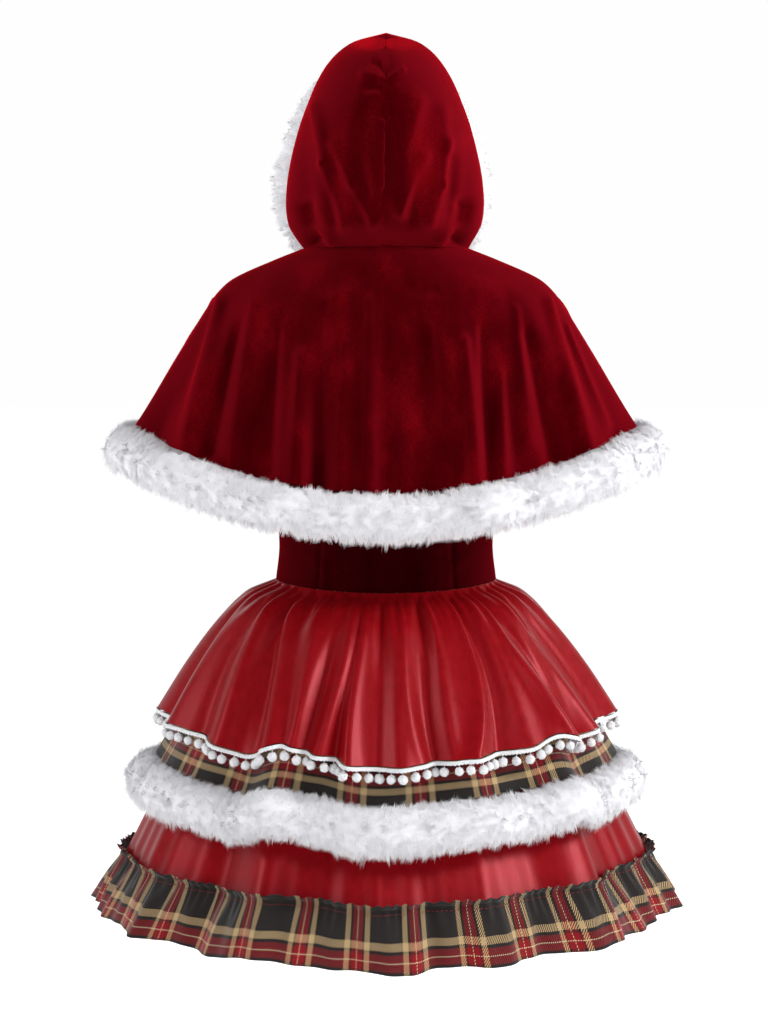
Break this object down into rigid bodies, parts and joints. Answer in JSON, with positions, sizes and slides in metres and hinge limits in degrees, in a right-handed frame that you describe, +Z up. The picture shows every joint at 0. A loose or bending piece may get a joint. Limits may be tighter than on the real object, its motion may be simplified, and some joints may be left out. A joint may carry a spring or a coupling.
{
  "type": "hooded shoulder cape and three-tier dress",
  "caption": "Red velvet hooded cape with white fur trims over a sleeveless dress whose full skirt has satin and tartan tiers, shown in the hollow form it takes when worn.",
  "frame": {"origin": "the middle of the neck seam, level with the top of the wearer's shoulders", "axes": "+Z up along the wearer's body, -Y to the front, +X to the wearer's left"},
  "size_m": [0.6947, 0.6464, 1.0195],
  "materials": {
    "velvet": "dark red velvet, soft nap",
    "satin": "red satin, smooth and lustrous",
    "tartan": "charcoal, red and tan tartan twill",
    "white_fur": "long white faux fur",
    "white_braid": "matt white cotton braid and yarn pom-poms"
  },
  "bodies": {
    "root": {"hood_left": "velvet", "hood_right": "velvet", "hood_fur_trim": "white_fur", "cape_back": "velvet", "cape_front_left": "velvet", "cape_front_right": "velvet", "cape_fur_trim": "white_fur", "bodice_back": "velvet", "bodice_side_back_left": "velvet", "bodice_side_back_right": "velvet", "bodice_front": "velvet", "strap_left": "velvet", "strap_right": "velvet", "top_tier_back": "satin", "top_tier_front": "satin", "pompom_trim": "white_braid", "middle_tier_back": "tartan", "middle_tier_front": "tartan", "middle_fur_trim": "white_fur", "bottom_tier_back": "satin", "bottom_tier_front": "satin", "hem_ruffle": "tartan"}
  },
  "joints": []
}
